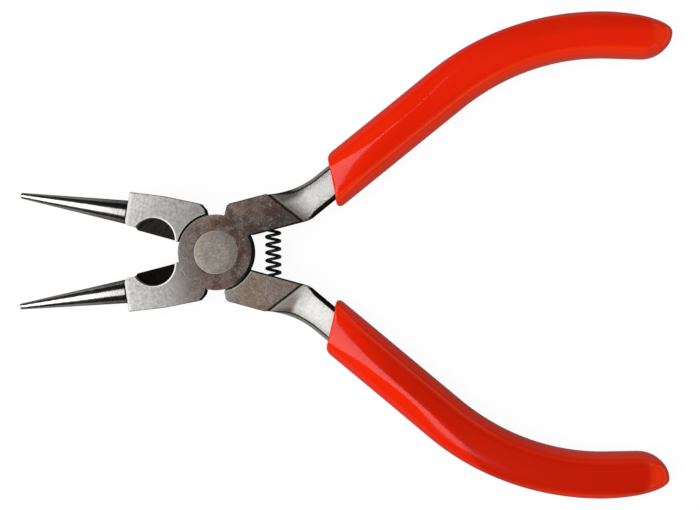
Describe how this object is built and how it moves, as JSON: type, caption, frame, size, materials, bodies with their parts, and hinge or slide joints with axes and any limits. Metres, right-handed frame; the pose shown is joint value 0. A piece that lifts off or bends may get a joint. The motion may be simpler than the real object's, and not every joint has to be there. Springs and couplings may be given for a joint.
{
  "type": "round-nose pliers",
  "caption": "Small round-nose pliers with side cutters, a lap joint on a flush rivet, a coil return spring and dipped grips, standing open.",
  "frame": {"origin": "on the pivot axis, in the plane that the pliers rest on when they lie flat", "axes": "+X from the pivot towards the handles, so the nose points to -X; +Y towards the right half's handle; +Z along the rivet, up through the joint"},
  "size_m": [0.1194, 0.0896, 0.008],
  "materials": {
    "left_steel": "ground, with satin jaws and polished noses",
    "right_steel": "ground and stained joint face, satin jaws, polished noses",
    "grip_vinyl": "glossy dipped vinyl",
    "rivet_steel": "ground flush",
    "spring_wire": "blackened"
  },
  "bodies": {
    "left_lever": {"left_half": "left_steel", "left_grip": "grip_vinyl", "pivot_rivet": "rivet_steel", "return_spring": "spring_wire"},
    "right_lever": {"right_half": "right_steel", "right_grip": "grip_vinyl"}
  },
  "joints": [
    {"name": "pivot", "type": "hinge", "parent": "left_lever", "child": "right_lever", "pos_m": [0, 0, 0.004], "axis": [0, 0, 1], "range_deg": [-29.9, 27], "stiffness_Nm_per_rad": 1.1, "deforming": ["return_spring"]}
  ]
}
